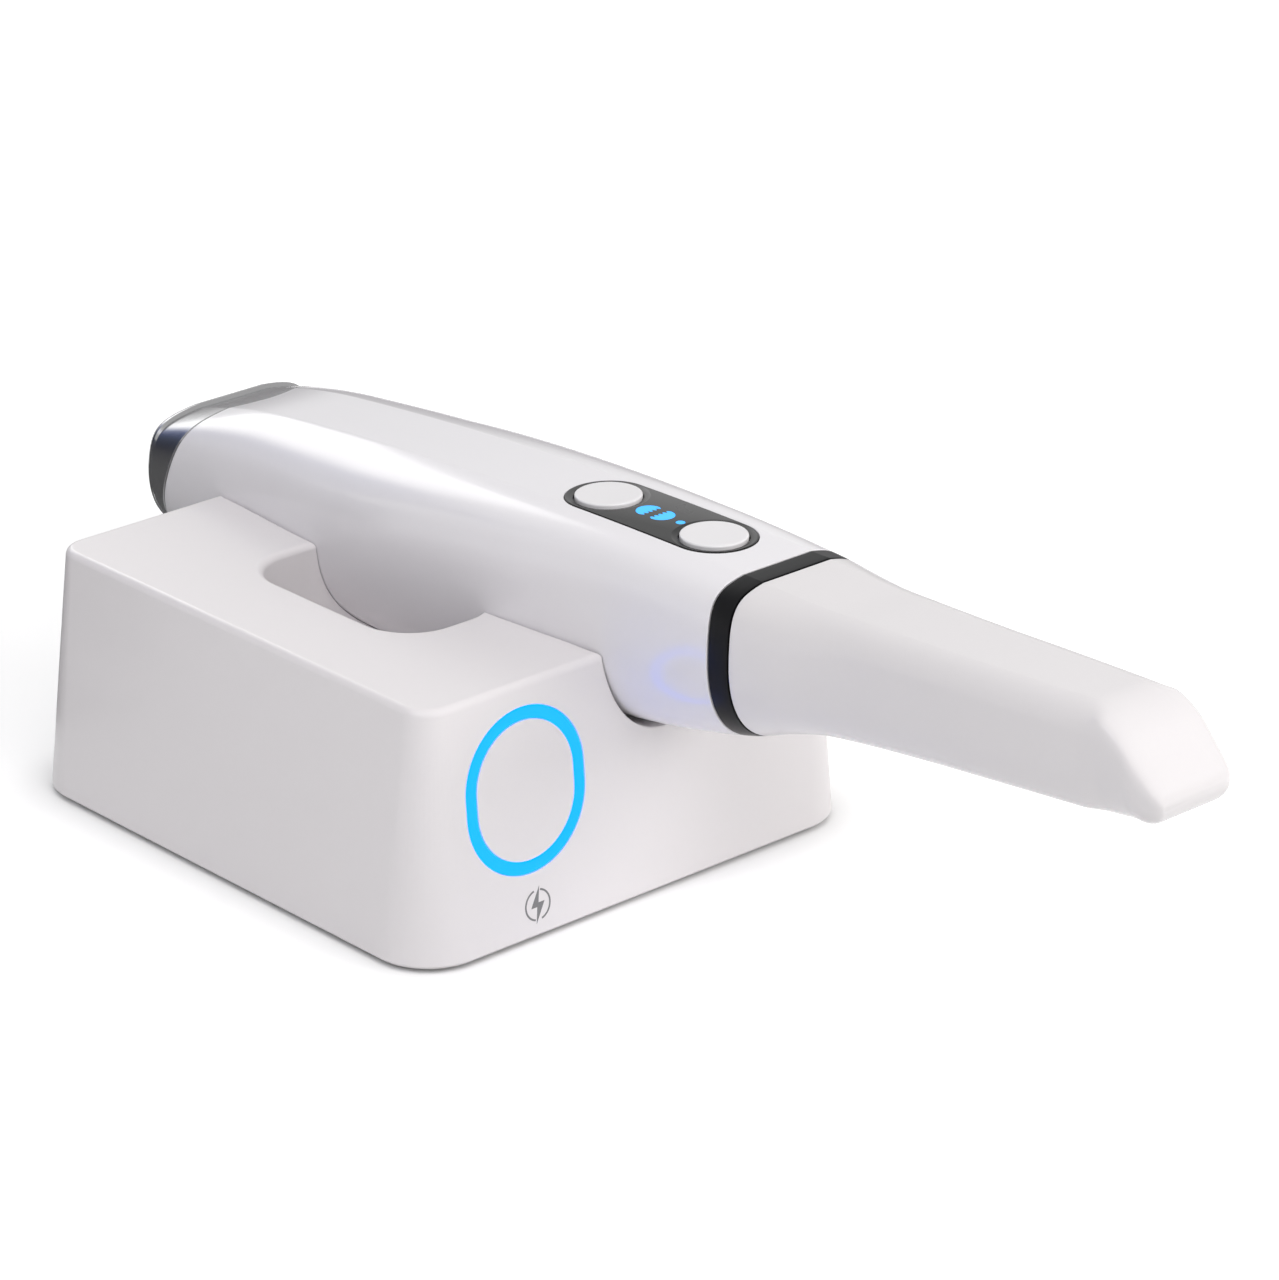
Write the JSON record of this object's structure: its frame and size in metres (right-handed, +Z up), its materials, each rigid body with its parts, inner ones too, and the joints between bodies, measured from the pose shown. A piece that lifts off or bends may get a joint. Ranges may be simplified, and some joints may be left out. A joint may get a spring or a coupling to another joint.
{
  "type": "intraoral scanner",
  "caption": "Cordless intraoral scanner with a slim detachable tip, lying in a trough across its square charging dock with a glowing ring",
  "frame": {"origin": "Middle of the non-slip mat's underside, on the desk", "axes": "+Z up; the scanner's tip points along -Y and its tail along +Y; the light ring is on the -X side of the dock's front wall, and the trough on the +X side"},
  "size_m": [0.1126, 0.2679, 0.0757],
  "materials": {
    "white_shell": "smooth glossy white moulding",
    "tip_white": "satin off-white moulding",
    "gunmetal_cap": "dark blue-grey gloss lacquer",
    "black_collar": "polished black",
    "panel_black": "satin charcoal",
    "button_white": "fine matt white",
    "blue_light": "lit blue light guide",
    "rubber": "soft black rubber",
    "inner_plastic": "dark grey moulding",
    "circuit_board": "green solder mask",
    "steel": "plain steel",
    "copper": "enamelled copper winding",
    "ferrite": "sintered ferrite, dull black",
    "aluminium": "bead-blasted aluminium",
    "glass": "clear coated glass",
    "mirror": "front-surface mirror",
    "cell_sleeve": "blue film sleeve"
  },
  "bodies": {
    "scanner_and_dock": {"dock_shell": "white_shell", "base_plate": "inner_plastic", "non_slip_mat": "rubber", "base_screw_1": "steel", "base_screw_2": "steel", "base_screw_3": "steel", "base_screw_4": "steel", "light_ring": "blue_light", "light_ring_board": "circuit_board", "charging_coil": "copper", "coil_ferrite": "ferrite", "dock_main_board": "circuit_board", "power_inlet": "steel", "ballast_plate": "steel", "body_shell": "white_shell", "tail_cap": "gunmetal_cap", "front_collar": "black_collar", "button_panel": "panel_black", "indicator_light_guide": "blue_light", "switch_board": "circuit_board", "rear_switch": "inner_plastic", "front_switch": "inner_plastic", "inner_chassis": "inner_plastic", "battery_cell": "cell_sleeve", "handpiece_main_board": "circuit_board", "receiving_coil": "copper", "receiving_ferrite": "ferrite", "optical_nose": "inner_plastic", "nose_window": "glass", "tip_seal_ring": "rubber", "heat_spreader": "aluminium", "imaging_board": "circuit_board", "projector_module": "inner_plastic", "left_camera": "inner_plastic", "right_camera": "inner_plastic"},
    "rear_button": {"rear_button": "button_white"},
    "front_button": {"front_button": "button_white"},
    "tip": {"tip_sleeve": "tip_white", "tip_mirror": "mirror"}
  },
  "joints": [
    {"name": "rear_button_press", "type": "slide", "parent": "scanner_and_dock", "child": "rear_button", "axis": [0, -0.0338, -0.9994], "range_m": [0, 0.0005], "stiffness_N_per_m": 800, "springref_m": -0.0003},
    {"name": "front_button_press", "type": "slide", "parent": "scanner_and_dock", "child": "front_button", "axis": [0, -0.0075, -1], "range_m": [0, 0.0005], "stiffness_N_per_m": 800, "springref_m": -0.0003},
    {"name": "tip_slide", "type": "slide", "parent": "scanner_and_dock", "child": "tip", "axis": [0, -1, 0], "range_m": [0, 0.06]}
  ]
}
